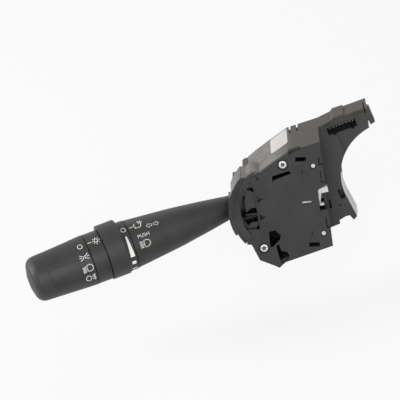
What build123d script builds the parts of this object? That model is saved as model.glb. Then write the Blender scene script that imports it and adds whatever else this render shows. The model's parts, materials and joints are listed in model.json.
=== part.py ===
from build123d import *
import os
from math import atan2, cos, degrees, hypot, pi, radians, sin, tan

os.makedirs("parts", exist_ok=True)

# The origin is midway between the two fixing holes, on the rear mounting face.
# X runs from the stalk's tip towards the steering column, Y away from the driver, Z up.

# Where the stalk pivots, and how it lies
PIVOT_X = -37.0
PIVOT_SETBACK = 25.0     # behind the front plate's face
PIVOT_Z = -2.8
STALK_RAKE = 16.0        # degrees towards the driver
STALK_DROOP = 8.45       # degrees below level
TURN_SWING = 12.0        # degrees each way, turn signal up and down
BEAM_PULL = 6.0          # degrees towards the driver

# Housing
WALL = 2.0
HOUSING_DEPTH = 48.0     # rear mounting face to the front plate's face
PIVOT_Y = PIVOT_SETBACK - HOUSING_DEPTH
PLATE_THICKNESS = 2.2
COVER_THICKNESS = 1.8
RIGHT_X = -5.5           # where the switch block ends and the column bracket starts
CASE_REAR = -0.4         # the case stands back from the mounting face
SEAM = 0.2               # gap at a moulded joint line

# Corners of the block seen from the front, as (x, z)
CASE_CORNER = [(-57.0, 5.0), (-57.0, 12.0), (-55.4, 13.0), (-53.2, 13.3)]
TOP_POINTS = [(-53.0, 13.9), (-46.5, 18.2), (-37.5, 23.6), (-25.5, 30.3), (RIGHT_X, 34.3)]
BOTTOM_POINTS = [(RIGHT_X, -36.7), (-36.9, -43.9), (-41.2, -47.2), (-43.8, -45.4), (-53.0, -40.3),
                 (-56.8, -29.2), (-59.6, -28.5), (-59.6, -26.4)]
PLATE_CORNER = (-48.6, 16.8)
FOLD_LINE = [(-57.9, 17.7), (-54.8, 17.3), (-51.8, 19.6), (-49.0, 19.6)]
FOLD_FOOT = [(-49.0, 17.1), (-57.2, 17.1)]
LIP_TAB = [(-50.6, 19.6), (-52.6, 14.5), (-55.5, 12.0), (-57.5, 15.5)]
COVER_FOLD = [(-46.3, 18.5), TOP_POINTS[1], TOP_POINTS[0], (-54.2, 13.7), (-57.0, 16.7)]

# Drum round the stalk's root: its bore is concentric with the turn axis, its outside is not
DRUM_BORE = 28.2
DRUM_SIDE = 6.4          # where the wall is thickest
DRUM_RADIUS = DRUM_BORE + DRUM_SIDE
DRUM_WALL = 3.0
DRUM_CENTRE = (-34.1, -7.1)
DRUM_FOOT_STEP = 1.4     # the lower end of the drum is this much slimmer
LIP_STAND = 2.0          # the drum's front lip stands this far proud of the plate
DRUM_FRONT = HOUSING_DEPTH + LIP_STAND
DRUM_BACK = 4.0
DRUM_SHORT_BACK = 28.0   # its upper half is shallower
DRUM_TOP_ANGLE = 136.0
DRUM_LIP_END = 212.0
DRUM_BOTTOM_ANGLE = 226.0
FLOOR_ANGLE = 165.0      # the case floor ends here, above the stalk
LIP_WIDTH = 7.8
LIP_THICKNESS = 1.8
LIP_GROOVE = 0.8
LIP_GROOVE_RADIUS = 32.0
LIP_GROOVE_WIDTH = 1.6

# Openings and recesses of the front plate, as (x, z)
OPENING = [(-51.1, 9.4), (-54.9, 10.0), (-57.2, 7.2), (-60.0, 3.2), (-61.2, -1.5), (-61.3, -7.5),
           (-60.6, -18.2), (-50.3, -19.4)]
OPENING_RIB = [(-50.8, 3.6), (-49.7, 3.6), (-49.0, -18.6), (-50.1, -18.6)]
LONG_SLOT = [(-38.2, 15.2), (-27.2, 17.4), (-25.7, 15.5), (-36.4, 12.6), (-38.4, 11.7)]
UPPER_POCKET = [(-45.0, -21.8), (-40.7, -21.2), (-37.6, -25.4), (-38.6, -28.2), (-43.4, -32.3),
                (-45.2, -32.4)]
LOWER_POCKET = [(-41.4, -32.2), (-39.8, -31.0), (-38.6, -35.8), (-35.0, -37.0), (-33.8, -39.8),
                (-34.9, -42.0), (-37.4, -43.6), (-39.4, -44.6), (-40.6, -39.0)]
CORNER_SLIT = [(-48.5, 16.9), (-47.9, 17.4), (-47.0, 13.6), (-47.9, 13.3)]
COVER_NOTCH = [(-26.2, 31.4), (-18.0, 33.4), (-18.0, 30.0), (-25.8, 28.0)]
ARROW_WIDTH = 4.2
ARROW_HEIGHT = 5.2
ARROW_TIPS = [(-45.9, 0.8), (-45.7, -11.5)]
COVER_SLOTS = [(-23.8, 30.0), (-19.0, 30.0)]
SLOT_WIDTH = 1.1
SLOT_LENGTH = 14.0
SLOT_REACH = 10.0        # taller than the sloping cover is where they cross it
SIDE_SLOTS = [(-18.9, 24.1), (-17.1, -34.3)]
SIDE_SLOT_LENGTH = 6.8
SIDE_SLOT_HEIGHT = 2.9
SIDE_SLOT_TURN = -6.0
TAB_SLOT = (-18.5, -5.3)
TAB_SLOT_LENGTH = 6.2
TAB_SLOT_HEIGHT = 2.0
EDGE_NOTCHES = [(18.6, 23.7), (6.6, 14.4), (-24.3, -16.6)]
NOTCH_DEPTH = 2.4

# Column bracket
BRACKET_DEPTH = 19.0
COLUMN_X = 40.5
COLUMN_Z = -3.5
COLUMN_RADIUS = 35.5
BRACKET_RIGHT = 26.9
BRACKET_TOP = [(3.2, 37.4), (4.8, 39.3), (11.6, 40.8), (12.2, 39.9), (BRACKET_RIGHT, 43.4)]
BRACKET_BOTTOM = [(7.7, -17.0), (12.3, -29.8), (10.0, -31.8), (7.8, -28.5), (5.1, -28.8), (0.4, -31.1),
                  (0.9, -33.4), (RIGHT_X, -35.2)]
FIXING_SPACING = 40.0
FIXING_HOLE_RADIUS = 2.2
FIXING_HOLE_DEPTH = 12.0
FIXING_BOSS_RADIUS = 4.6
RIB = 1.6
POCKET = [(1.6, -10.0), (5.4, -9.8), (6.6, -15.6), (3.6, -16.8)]
POCKET_DEPTH = 7.0
BRACKET_NOTCH = [(-4.9, -16.0), (-3.6, -16.0), (-3.0, -22.0), (-4.4, -22.0)]
PEEP_HOLE = (2.4, -20.7)
PEEP_HOLE_RADIUS = 0.8
GROOVE_CENTRE = (8.0, 22.5)
GROOVE_LENGTH = 13.4
GROOVE_TURN = 19.6
GROOVE_DEPTH = 0.7
CLIP_SLIT = [(24.1, 46.0), (24.8, 46.0), (26.0, 39.4), (25.4, 39.4)]
CLIP = [(BRACKET_RIGHT, 43.2), (28.3, 43.0), (31.1, 32.8), (28.2, 31.3), (BRACKET_RIGHT, 34.6)]
CLIP_DEPTH = 6.0
LINER_THICKNESS = 1.2
LINER_TOP = 1.5
LINER_BOTTOM = -28.4

# Connector
SOCKET_X = 9.6
SOCKET_Z = 32.1
SOCKET_TILT = 13.0
SOCKET_WIDTH = 19.4
SOCKET_HEIGHT = 5.4
SOCKET_WALL = 1.2
SOCKET_DEPTH = 13.0
SOCKET_FLOOR = 1.5
SOCKET_CUT = 18.0        # depth of the hole for it in the bracket
KEY_PLACES = (-5.4, 6.6)
KEY_WIDTH = 2.0
KEY_HEIGHT = 1.2
PIN_COUNT = 8
PIN_SIZE = 0.64
PIN_PITCH = 2.2
PIN_LENGTH = 7.0

# Stalk, measured from the pivot along its own axis
STALK_START = 27.0
STALK_END = 101.4
STALK_END_RADIUS = 15.9
STALK_SECTIONS = [(STALK_START, 6.7), (33.5, 7.5), (50.0, 10.1), (70.5, 12.9), (STALK_END, STALK_END_RADIUS)]
STALK_WALL = 2.0
RING_LENGTH = 17.2
RING_RADIUS = 16.2
RING_GRIP_RADIUS = 18.0
RING_GRIP_OFFSET = 0.9
RING_CHAMFER = 0.8
RING_BAND = 4.8
COLLAR_LENGTH = 9.5
COLLAR_RADIUS = 16.4
KNOB_LENGTH = 41.0
KNOB_RADIUS = 16.6
KNOB_TIP_RADIUS = 14.8
KNOB_ROUNDING = 6.0
ROUNDING_STEPS = 4
STALK_FLATNESS = 0.997   # stalk and knob are a little slimmer from front to back
DOME_ANGLE = 18.0
HUB_SETBACK = 12.0       # room in the tip for the tube's cap
HUB_LENGTH = KNOB_LENGTH - HUB_SETBACK
SPOKE_START = 5.0
SPOKES = 3
GRIP_PANELS = 3
GRIP_DEPTH = 0.4
GRIP_LENGTH = 20.0
GRIP_CENTRE = 18.5
GRIP_TOP = 29.0          # degrees above the driver's side
GRIP_BOTTOM = -17.5
ROTARY_GAP = 0.5
TUBE_RADIUS = 5.0
TUBE_BORE = 3.4
DISC_THICKNESS = 1.6
DISC_GAP = 0.5
RUNNING = 0.06           # radial clearance of a turning fit
SIDES = 24               # faces of hidden hollows and discs

# Moving core
YOKE_FRONT = 18.0        # from the pivot towards the driver
COIL_SIDES = 14          # straight lengths in each turn of a spring
YOKE_REAR_SPACE = 6.0    # between its back and the rear mounting face
YOKE_BACK = -PIVOT_Y - YOKE_REAR_SPACE
YOKE_HALF_HEIGHT = 10.5
YOKE_WALL = 2.6
YOKE_REACH_LEFT = 11.0
YOKE_REACH_RIGHT = 10.0
TRUNNION_RADIUS = 4.0
TRUNNION_LENGTH = 3.2
BEARING_RADIUS = 7.0
BEAM_PIN_RADIUS = 1.5
ROOT_HALF_HEIGHT = 4.5
ROOT_HALF_DEPTH = 4.6
ROOT_BACK = 5.0
ROOT_FRONT = 10.0
TUBE_START = 14.0
SHUTTER_GAP = 0.35
SHUTTER_WALL = 1.4
SHUTTER_HALF_ANGLE = 38.0
SHUTTER_SETBACK = 0.6
SHUTTER_TAIL = 5.0       # behind the pivot
SHUTTER_FRONT = PLATE_THICKNESS + SHUTTER_SETBACK - HOUSING_DEPTH
SHUTTER_BACK = PIVOT_Y + SHUTTER_TAIL
SHUTTER_SLOT = 7.4
WINDOW_GAP = 1.2
WEB_INNER = 8.5
WEB_THICKNESS = 1.6
WEB_GAP_INNER = 20.8
WEB_GAP_OUTER = 24.8
WEB_GAP_ANGLE = 26.0
WEB_HOLE = (-52.7, -10.1)
WEB_HOLE_RADIUS = 4.9
ARM_NOTCH = 9.0          # degrees cut from the blade's upper end, behind the drum
ARM_LIFT = 8.2
ARM_WALL = 2.0
ARM_FRONT = -13.0
ARM_BACK = 4.0
TURN_ARM = 18.0
TURN_ARM_HALF = 2.6
TURN_PIN_RADIUS = 1.5
BEAM_ARM = 25.0
TAIL_RADIUS = 2.4
TAIL_HALF_HEIGHT = 2.7
TAIL_HALF_DEPTH = 1.92
PLUNGER_RADIUS = 2.2
PLUNGER_TIP = 1.5
PLUNGER_Y = 10.0
PLUNGER_TOP = 9.0
PLUNGER_SHOULDER = 15.5
GUIDE_TOP = -1.5
GUIDE_WALL = 1.2
GUIDE_END = -14.0
TRACK_RADIUS = 19.5
TRACK_GAP = 0.3
TRACK_THICKNESS = 3.0
TRACK_HALF_ANGLE = 27.0
TRACK_HALF_WIDTH = 4.0
NOTCH_RADIUS = 1.25 * PLUNGER_TIP
NOTCH_SETBACK = 0.8 * PLUNGER_TIP
PLUNGER_WIRE = 0.25
PLUNGER_TURNS = 4
BEAM_WIRE = 0.35
BEAM_TURNS = 3
BEAM_COIL_GAP = 0.9
CARRIER_THICKNESS = 1.8
CARRIER_TOP = 22.0
CARRIER_BOTTOM = -31.0
CARRIER_MARGIN = 3.0
CARRIER_GAP = 0.7
CARRIER_RAIL = 1.0
GATE_MARGIN = 1.2
SLIDER_THICKNESS = 2.8
SLIDER_LEFT = -23.0
SLIDER_RIGHT = -15.6
SLIDER_HALF = 6.0
BEAM_SLIDER_TOP = 11.5
BEAM_SLIDER_BOTTOM = -10.5
BEAM_SLIDER_REACH = 5.0
PIN_GAP = 0.1
END_GAP = 0.5
BEAM_SLIDER_WALL = 3.4
PAWL_LEFT = -10.6
PAWL_RIGHT = -4.6
PAWL_TRAVEL = 2.5
PAWL_THICKNESS = 3.2
PAWL_HEAD = [(-6.4, 3.2), (PAWL_RIGHT, 3.3), (PAWL_RIGHT + 0.6, -0.7), (-8.9, -1.1)]
PAWL_SHOULDER = 1.4
PAWL_NECK = 2.0
PAWL_KNEE = -5.9
PAWL_FOOT = -9.7
PAWL_TOE_LENGTH = 2.9
PAWL_TOE_HEIGHT = 1.5
PAWL_LIMB = 1.0
GATE_TOP = 4.4
GATE_BOTTOM = -11.8
GATE_SLOPE = 1.8
GATE_DEPTH = 8.0

# Screws and pegs, as (x, z)
PLATE_SCREWS = [(-30.6, 22.0), (-49.3, -32.5)]
SCREW_HEAD_RADIUS = 2.85
SCREW_HEAD_HEIGHT = 1.7
SCREW_EDGE = 0.595
SCREW_DRIVE_RADIUS = 1.197
SCREW_DRIVE_DEPTH = 1.105
SCREW_SHANK_RADIUS = 1.5
SCREW_LENGTH = 12.0
SCREW_POST_RADIUS = 3.0
SCREW_SEAT = 1.4         # depth of the counterbore
SCREW_RING = 0.8         # gap round the head
PEGS = [(-11.6, 18.6), (-10.3, -27.5)]
PEG_RADIUS = 1.35
PEG_REACH = 0.8 * PLATE_THICKNESS
PEG_CLEARANCE = 0.15
PEG_RING = 0.65
CARRIER_TAB = (-19.8, -5.2)
CARRIER_TAB_LENGTH = 2.4
CARRIER_TAB_HEIGHT = 1.1
CARRIER_TAB_REACH = 0.6 * PLATE_THICKNESS

# Label on the cover's slope
LABEL_THICKNESS = 0.2
LABEL_MARGIN = 0.3
LABEL_FRONT = -30.0
LABEL_BACK = -2.5

FRONT_Y = -HOUSING_DEPTH
PLATE_BACK_Y = FRONT_Y + PLATE_THICKNESS
BRACKET_Y = -BRACKET_DEPTH
BASE_Y = CASE_REAR - WALL
CENTRE = (PIVOT_X, PIVOT_Z)
PIVOT = (PIVOT_X, PIVOT_Y, PIVOT_Z)
STALK_ANGLE = 180 + STALK_DROOP
CLEAR_ANGLE = STALK_ANGLE - SHUTTER_HALF_ANGLE - TURN_SWING - 1
ARM_CLEAR_ANGLE = CLEAR_ANGLE + ARM_NOTCH


# Sketches lie in the front view, with x to the right and z up

def slab(sketch, front, back):
    plane = Plane(origin=(0, back, 0), x_dir=(1, 0, 0), z_dir=(0, -1, 0))
    return extrude(plane * sketch, amount=back - front)


def outline(points):
    return make_face(Polyline(*points, close=True))


def around(angle, radius):
    turn = radians(angle)
    return (PIVOT_X + radius * cos(turn), PIVOT_Z + radius * sin(turn))


def disc(radius):
    return Pos(*CENTRE) * Circle(radius)


def wedge(start, end, reach):
    rays = [start + (end - start) * step / 4 for step in range(5)]
    return outline([CENTRE] + [around(angle, reach) for angle in rays])


def sector(outer, inner, start, end):
    ring = disc(outer) - disc(inner) if inner else disc(outer)
    return ring & wedge(start, end, outer * 1.6)


def drum(radius):
    return Pos(*DRUM_CENTRE) * Circle(radius)


def facets(radius):
    return RegularPolygon(radius, SIDES)


def coarse(radius):
    return RegularPolygon(radius, SIDES // 2)


def box_between(low, high):
    size = [b - a for a, b in zip(low, high)]
    middle = [(a + b) / 2 for a, b in zip(low, high)]
    return Pos(*middle) * Box(*size)


def rod(radius, start, direction, length):
    return extrude(Plane(origin=start, z_dir=direction) * Circle(radius), amount=length)


# The yoke turns about Y, and the stalk's own frame is raked about the yoke's up axis

DROOP = radians(STALK_DROOP)
RAKE = radians(STALK_RAKE)
UP = (-sin(DROOP), 0, cos(DROOP))
LEFT = (-cos(DROOP), 0, -sin(DROOP))
TOWARDS_TIP = (-cos(DROOP) * cos(RAKE), -sin(RAKE), -sin(DROOP) * cos(RAKE))
YOKE = Plane(origin=PIVOT, x_dir=UP, z_dir=LEFT).location
STALK = Plane(origin=PIVOT, x_dir=UP, z_dir=TOWARDS_TIP).location

RING_START = STALK_END + ROTARY_GAP
COLLAR_START = RING_START + RING_LENGTH + ROTARY_GAP
KNOB_START = COLLAR_START + COLLAR_LENGTH + ROTARY_GAP


def drum_side(upper_angle, top):
    start = around(DRUM_BOTTOM_ANGLE, DRUM_BORE)
    middle = around((DRUM_BOTTOM_ANGLE + upper_angle) / 2, DRUM_BORE)
    end = around(upper_angle, DRUM_BORE)
    return make_face(Polyline(end, *top, *BOTTOM_POINTS, start) + ThreePointArc(start, middle, end))


def plate_face():
    return drum_side(DRUM_TOP_ANGLE, [PLATE_CORNER] + TOP_POINTS[1:])


def case_face():
    drop = COVER_THICKNESS + SEAM
    return drum_side(FLOOR_ANGLE, CASE_CORNER + [(x, z - drop) for x, z in TOP_POINTS])


def rear_case():
    face = case_face()
    rim = face - offset(face, amount=-WALL)
    reach = 2 * DRUM_RADIUS
    lowest = DRUM_BOTTOM_ANGLE + TURN_SWING + 1
    behind_shutter = SHUTTER_BACK + 2 * SEAM
    case = slab(face, BASE_Y, CASE_REAR) + slab(rim, behind_shutter, BASE_Y)
    case += slab(rim - wedge(CLEAR_ANGLE, lowest, reach), PLATE_BACK_Y, -DRUM_SHORT_BACK)
    case += slab(rim - wedge(ARM_CLEAR_ANGLE, lowest, reach), -DRUM_SHORT_BACK, behind_shutter)
    for x, z in PLATE_SCREWS:
        post = slab(Pos(x, z) * coarse(SCREW_POST_RADIUS), PLATE_BACK_Y, BASE_Y)
        case += post & slab(face, PLATE_BACK_Y, CASE_REAR)
    for x, z in PLATE_SCREWS:
        case -= slab(Pos(x, z) * coarse(SCREW_SHANK_RADIUS), PLATE_BACK_Y, PLATE_BACK_Y + SCREW_LENGTH)
    case -= slab(pawl_gate(), PLATE_BACK_Y, PLATE_BACK_Y + GATE_DEPTH)
    bearing = Pos(*CENTRE) * facets(BEARING_RADIUS) - disc(TRUNNION_RADIUS + RUNNING)
    return case + slab(bearing, PIVOT_Y + YOKE_BACK + SEAM, BASE_Y)


def front_plate():
    plate = slab(plate_face() - outline(OPENING), FRONT_Y, PLATE_BACK_Y)
    plate += slab(outline(OPENING_RIB), FRONT_Y - LIP_GROOVE / 2, FRONT_Y)
    for x, z in PLATE_SCREWS:
        plate -= slab(Pos(x, z) * coarse(SCREW_SHANK_RADIUS + PEG_CLEARANCE), FRONT_Y, PLATE_BACK_Y)
        plate -= slab(Pos(x, z) * Circle(SCREW_HEAD_RADIUS + SCREW_RING), FRONT_Y, FRONT_Y + SCREW_SEAT)
    for x, z in PEGS:
        plate -= slab(Pos(x, z) * Circle(PEG_RADIUS + PEG_CLEARANCE), FRONT_Y, PLATE_BACK_Y)
        plate -= slab(Pos(x, z) * Circle(PEG_RADIUS + PEG_RING), FRONT_Y, FRONT_Y + SCREW_SEAT)
    for cut in plate_cuts():
        plate -= slab(cut, FRONT_Y, PLATE_BACK_Y)
    hub = Pos(*CENTRE) * facets(BEARING_RADIUS) - disc(TRUNNION_RADIUS + RUNNING)
    return plate + slab(hub, PLATE_BACK_Y, PIVOT_Y - YOKE_FRONT - SEAM)


def plate_cuts():
    cuts = [outline(points) for points in (LONG_SLOT, UPPER_POCKET, LOWER_POCKET, CORNER_SLIT, COVER_NOTCH)]
    for x, z in SIDE_SLOTS:
        cuts.append(Pos(x, z) * Rot(0, 0, SIDE_SLOT_TURN) * Rectangle(SIDE_SLOT_LENGTH, SIDE_SLOT_HEIGHT))
    cuts.append(Pos(*TAB_SLOT) * Rectangle(TAB_SLOT_LENGTH, TAB_SLOT_HEIGHT))
    for x, z in ARROW_TIPS:
        left = x - ARROW_WIDTH
        cuts.append(outline([(left, z + ARROW_HEIGHT / 2), (x, z), (left, z - ARROW_HEIGHT / 2)]))
    for low, high in EDGE_NOTCHES:
        inner = RIGHT_X - NOTCH_DEPTH
        cuts.append(outline([(inner, low), (RIGHT_X, low), (RIGHT_X, high), (inner, high)]))
    return cuts + [pawl_gate()]


def pawl_gate():
    left = PAWL_LEFT - SEAM
    right = RIGHT_X + 1
    below = GATE_TOP - GATE_SLOPE
    return outline([(left, GATE_BOTTOM), (right, GATE_BOTTOM), (right, GATE_TOP), (left, below)])


def top_cover():
    lowered = [(x, z - COVER_THICKNESS) for x, z in reversed(TOP_POINTS)]
    front = PLATE_BACK_Y + SEAM
    cover = slab(outline(TOP_POINTS + lowered), front, CASE_REAR)
    right = [TOP_POINTS[-1]] + BRACKET_TOP
    below = [(x, z - COVER_THICKNESS) for x, z in reversed(right)]
    cover += slab(outline(right + below), BRACKET_Y, CASE_REAR)
    cover += slab(outline(FOLD_LINE + COVER_FOLD), front, -DRUM_SHORT_BACK)
    cover -= slab(outline(COVER_NOTCH), front, front + COVER_THICKNESS)
    cover -= slab(outline(CLIP_SLIT), BRACKET_Y, BRACKET_Y + 2 * CLIP_DEPTH)
    for x, z in COVER_SLOTS:
        cover -= slab(Pos(x, z) * Rectangle(SLOT_WIDTH, SLOT_REACH), CASE_REAR - SLOT_LENGTH, CASE_REAR)
    return cover


def stalk_shroud():
    bore = disc(DRUM_BORE + SEAM)
    reach = 2 * DRUM_RADIUS
    wall = drum(DRUM_RADIUS) - bore
    shroud = slab(wall & wedge(DRUM_TOP_ANGLE, STALK_ANGLE, reach), -DRUM_FRONT, -DRUM_SHORT_BACK)
    shroud += slab(wall & wedge(STALK_ANGLE, DRUM_LIP_END, reach), -DRUM_FRONT, -DRUM_BACK)
    slim = drum(DRUM_RADIUS - DRUM_FOOT_STEP) - bore
    shroud += slab(slim & wedge(DRUM_LIP_END, DRUM_BOTTOM_ANGLE, reach), -DRUM_FRONT, -DRUM_BACK)
    lip = drum(DRUM_RADIUS - DRUM_FOOT_STEP) - drum(DRUM_RADIUS - LIP_WIDTH)
    lip &= wedge(DRUM_TOP_ANGLE, DRUM_BOTTOM_ANGLE, reach)
    lip += outline(FOLD_LINE[:3] + LIP_TAB)
    shroud += slab(lip, -DRUM_FRONT, -DRUM_FRONT + LIP_THICKNESS)
    shroud += slab(outline(FOLD_LINE + FOLD_FOOT), -DRUM_FRONT + LIP_THICKNESS, PLATE_BACK_Y)
    groove = drum(LIP_GROOVE_RADIUS) - drum(LIP_GROOVE_RADIUS - LIP_GROOVE_WIDTH)
    groove &= wedge(DRUM_TOP_ANGLE, DRUM_BOTTOM_ANGLE, reach)
    shroud -= slab(groove, -DRUM_FRONT, -DRUM_FRONT + LIP_GROOVE)
    back = drum(DRUM_RADIUS) & wedge(DRUM_TOP_ANGLE, ARM_CLEAR_ANGLE, reach)
    left = PIVOT_X - reach
    right = CASE_CORNER[0][0] - SEAM
    back &= outline([(left, 0), (right, 0), (right, reach), (left, reach)])
    shroud += slab(back, -DRUM_SHORT_BACK - COVER_THICKNESS, -DRUM_SHORT_BACK)
    return shroud - stalk_window()


def stalk_window():
    stalk_radius = STALK_SECTIONS[1][1]
    half_angle = TURN_SWING + degrees((STALK_SECTIONS[0][1] + WINDOW_GAP) / DRUM_BORE)
    middle = PIVOT_Y - (DRUM_BORE + DRUM_WALL) * tan(RAKE)
    half_depth = stalk_radius / cos(RAKE) + DRUM_RADIUS * tan(radians(BEAM_PULL)) + 2 * WINDOW_GAP
    start = STALK_ANGLE - half_angle
    window = sector(2 * DRUM_RADIUS, DRUM_BORE - WINDOW_GAP, start, start + 2 * half_angle)
    return slab(window, middle - half_depth, middle + half_depth)


def column_face():
    top = [TOP_POINTS[-1]] + BRACKET_TOP
    lowered = [(x, z - COVER_THICKNESS - SEAM) for x, z in top]
    face = outline(lowered + [(BRACKET_RIGHT, COLUMN_Z), (BRACKET_BOTTOM[0][0], COLUMN_Z)] + BRACKET_BOTTOM)
    return face - Pos(COLUMN_X, COLUMN_Z) * Circle(COLUMN_RADIUS)


def socket_sketch(margin):
    return Pos(SOCKET_X, SOCKET_Z) * Rot(0, 0, SOCKET_TILT) * Rectangle(SOCKET_WIDTH + 2 * margin,
                                                                       SOCKET_HEIGHT + 2 * margin)


def key_sketch():
    keys = Sketch()
    for x in KEY_PLACES:
        keys += Pos(SOCKET_X, SOCKET_Z) * Rot(0, 0, SOCKET_TILT) * Pos(x, -SOCKET_HEIGHT / 2) * Rectangle(
            KEY_WIDTH, 2 * KEY_HEIGHT)
    return keys


def column_bracket():
    face = column_face()
    bracket = slab(face, BRACKET_Y, BRACKET_Y + WALL)
    bracket += slab(face - offset(face, amount=-WALL), BRACKET_Y, 0)
    bracket += slab(Rectangle(RIB, FIXING_SPACING), BRACKET_Y, 0)
    pocket = outline(POCKET)
    bracket += slab(offset(pocket, amount=RIB) & face, BRACKET_Y, BRACKET_Y + POCKET_DEPTH + RIB)
    bracket -= slab(pocket, BRACKET_Y, BRACKET_Y + POCKET_DEPTH)
    for z in (-FIXING_SPACING / 2, FIXING_SPACING / 2):
        bracket += slab(Pos(0, z) * facets(FIXING_BOSS_RADIUS), BRACKET_Y, 0)
        bracket += slab(Pos(RIGHT_X / 2, z) * Rectangle(-RIGHT_X, RIB), BRACKET_Y, 0)
        bracket -= slab(Pos(0, z) * Circle(FIXING_HOLE_RADIUS), -FIXING_HOLE_DEPTH, 0)
    bracket -= slab(outline(BRACKET_NOTCH), BRACKET_Y, BRACKET_Y + POCKET_DEPTH)
    bracket -= slab(Pos(*PEEP_HOLE) * Circle(PEEP_HOLE_RADIUS), BRACKET_Y, BRACKET_Y + WALL)
    groove = Pos(*GROOVE_CENTRE) * Rot(0, 0, GROOVE_TURN) * Rectangle(GROOVE_DEPTH, GROOVE_LENGTH)
    bracket -= slab(groove, BRACKET_Y, BRACKET_Y + GROOVE_DEPTH)
    bracket -= slab(outline(CLIP_SLIT), BRACKET_Y, BRACKET_Y + 2 * CLIP_DEPTH)
    bracket -= slab(socket_sketch(SOCKET_WALL), BRACKET_Y, BRACKET_Y + SOCKET_CUT)
    return bracket + slab(outline(CLIP), BRACKET_Y, BRACKET_Y + CLIP_DEPTH)


def connector_socket():
    outer = slab(socket_sketch(SOCKET_WALL - SEAM / 2), BRACKET_Y, BRACKET_Y + SOCKET_DEPTH + SOCKET_FLOOR)
    hole = slab(socket_sketch(0), BRACKET_Y, BRACKET_Y + SOCKET_DEPTH)
    keys = slab(key_sketch() & socket_sketch(SOCKET_WALL * 0.7), BRACKET_Y, BRACKET_Y + SOCKET_DEPTH)
    return outer - hole - keys


def connector_pins():
    pins = Part()
    along = Pos(SOCKET_X, SOCKET_Z) * Rot(0, 0, SOCKET_TILT)
    back = BRACKET_Y + SOCKET_DEPTH
    for step in range(PIN_COUNT):
        x = (step - (PIN_COUNT - 1) / 2) * PIN_PITCH
        pins += slab(along * Pos(x, 0) * Rectangle(PIN_SIZE, PIN_SIZE), back - PIN_LENGTH, back)
    return pins


def plate_screws():
    screws = Part()
    seat = FRONT_Y + SCREW_SEAT
    for x, z in PLATE_SCREWS:
        head = slab(Pos(x, z) * Circle(SCREW_HEAD_RADIUS), seat - SCREW_HEAD_HEIGHT, seat)
        head = chamfer(head.edges().group_by(Axis.Y)[0], SCREW_EDGE)
        drive = Pos(x, z) * RegularPolygon(SCREW_DRIVE_RADIUS, 6)
        head -= slab(drive, seat - SCREW_HEAD_HEIGHT, seat - SCREW_HEAD_HEIGHT + SCREW_DRIVE_DEPTH)
        screws += head + slab(Pos(x, z) * coarse(SCREW_SHANK_RADIUS), seat, PLATE_BACK_Y + SCREW_LENGTH)
    return screws


def label():
    (x0, z0), (x1, z1) = TOP_POINTS[2], TOP_POINTS[3]
    slope = degrees(atan2(z1 - z0, x1 - x0))
    length = hypot(x1 - x0, z1 - z0) - 2 * LABEL_MARGIN
    on_slope = Pos((x0 + x1) / 2, (z0 + z1) / 2) * Rot(0, 0, slope)
    strip = on_slope * Pos(0, LABEL_THICKNESS / 2) * Rectangle(length, LABEL_THICKNESS)
    return slab(strip, LABEL_FRONT, LABEL_BACK)


# Stalk pieces, built along Z in the stalk's own frame with x up

def turned(points):
    return revolve(Plane.XZ * outline(points), Axis.Z)


def stalk_shell():
    skin = turned([(0, STALK_START)] + [(radius, t) for t, radius in STALK_SECTIONS] + [(0, STALK_END)])
    skin = scale(skin, by=(1, STALK_FLATNESS, 1))
    inside = STALK_SECTIONS[1:-1] + [(STALK_END - STALK_WALL, STALK_END_RADIUS)]
    hollow = loft([Pos(0, 0, t) * facets(radius - STALK_WALL) for t, radius in inside], ruled=True)
    bore = Pos(0, 0, STALK_START) * extrude(Circle(TUBE_RADIUS), amount=STALK_END)
    return STALK * (skin - hollow - bore)


def core_tube():
    reach = KNOB_START + HUB_LENGTH + ROTARY_GAP / 2
    tube = extrude(Circle(TUBE_RADIUS) - coarse(TUBE_BORE), amount=reach - TUBE_START)
    return STALK * Pos(0, 0, TUBE_START) * tube


def dimmer_ring():
    band = extrude(Circle(RING_RADIUS), amount=RING_LENGTH)
    grip = extrude(Circle(RING_GRIP_RADIUS), amount=RING_LENGTH - RING_BAND)
    grip = Pos(RING_GRIP_OFFSET, 0, RING_BAND) * chamfer(grip.edges().group_by(Axis.Z)[0], RING_CHAMFER)
    channel = facets(RING_RADIUS - WALL) - facets(TUBE_RADIUS + WALL)
    ring = band + grip - Pos(0, 0, WALL) * extrude(channel, amount=RING_LENGTH)
    ring -= extrude(Circle(TUBE_RADIUS + RUNNING), amount=RING_LENGTH)
    hub_cut = Pos(0, 0, RING_LENGTH - WALL) * extrude(facets(RING_RADIUS - WALL), amount=WALL)
    return STALK * Pos(0, 0, RING_START) * (ring - hub_cut)


def fixed_collar():
    channel = facets(COLLAR_RADIUS - WALL) - facets(TUBE_RADIUS + WALL)
    collar = extrude(Circle(COLLAR_RADIUS) - Circle(TUBE_RADIUS), amount=COLLAR_LENGTH)
    collar -= Pos(0, 0, WALL) * extrude(channel, amount=COLLAR_LENGTH)
    return STALK * Pos(0, 0, COLLAR_START) * collar


def knob_profile():
    slope = sin(radians(DOME_ANGLE))
    rim = KNOB_TIP_RADIUS - KNOB_ROUNDING * (1 - slope)
    dome = rim / slope
    fall = dome - (dome - KNOB_ROUNDING) * cos(radians(DOME_ANGLE))
    centre = (rim - KNOB_ROUNDING * slope, KNOB_LENGTH - fall)
    points = [(0, 0), (KNOB_RADIUS, 0)]
    for step in range(ROUNDING_STEPS + 1):
        turn = radians((90 - DOME_ANGLE) * step / ROUNDING_STEPS)
        points.append((centre[0] + KNOB_ROUNDING * cos(turn), centre[1] + KNOB_ROUNDING * sin(turn)))
    half = radians(DOME_ANGLE / 2)
    return points + [(dome * sin(half), KNOB_LENGTH - dome * (1 - cos(half))), (0, KNOB_LENGTH)]


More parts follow.
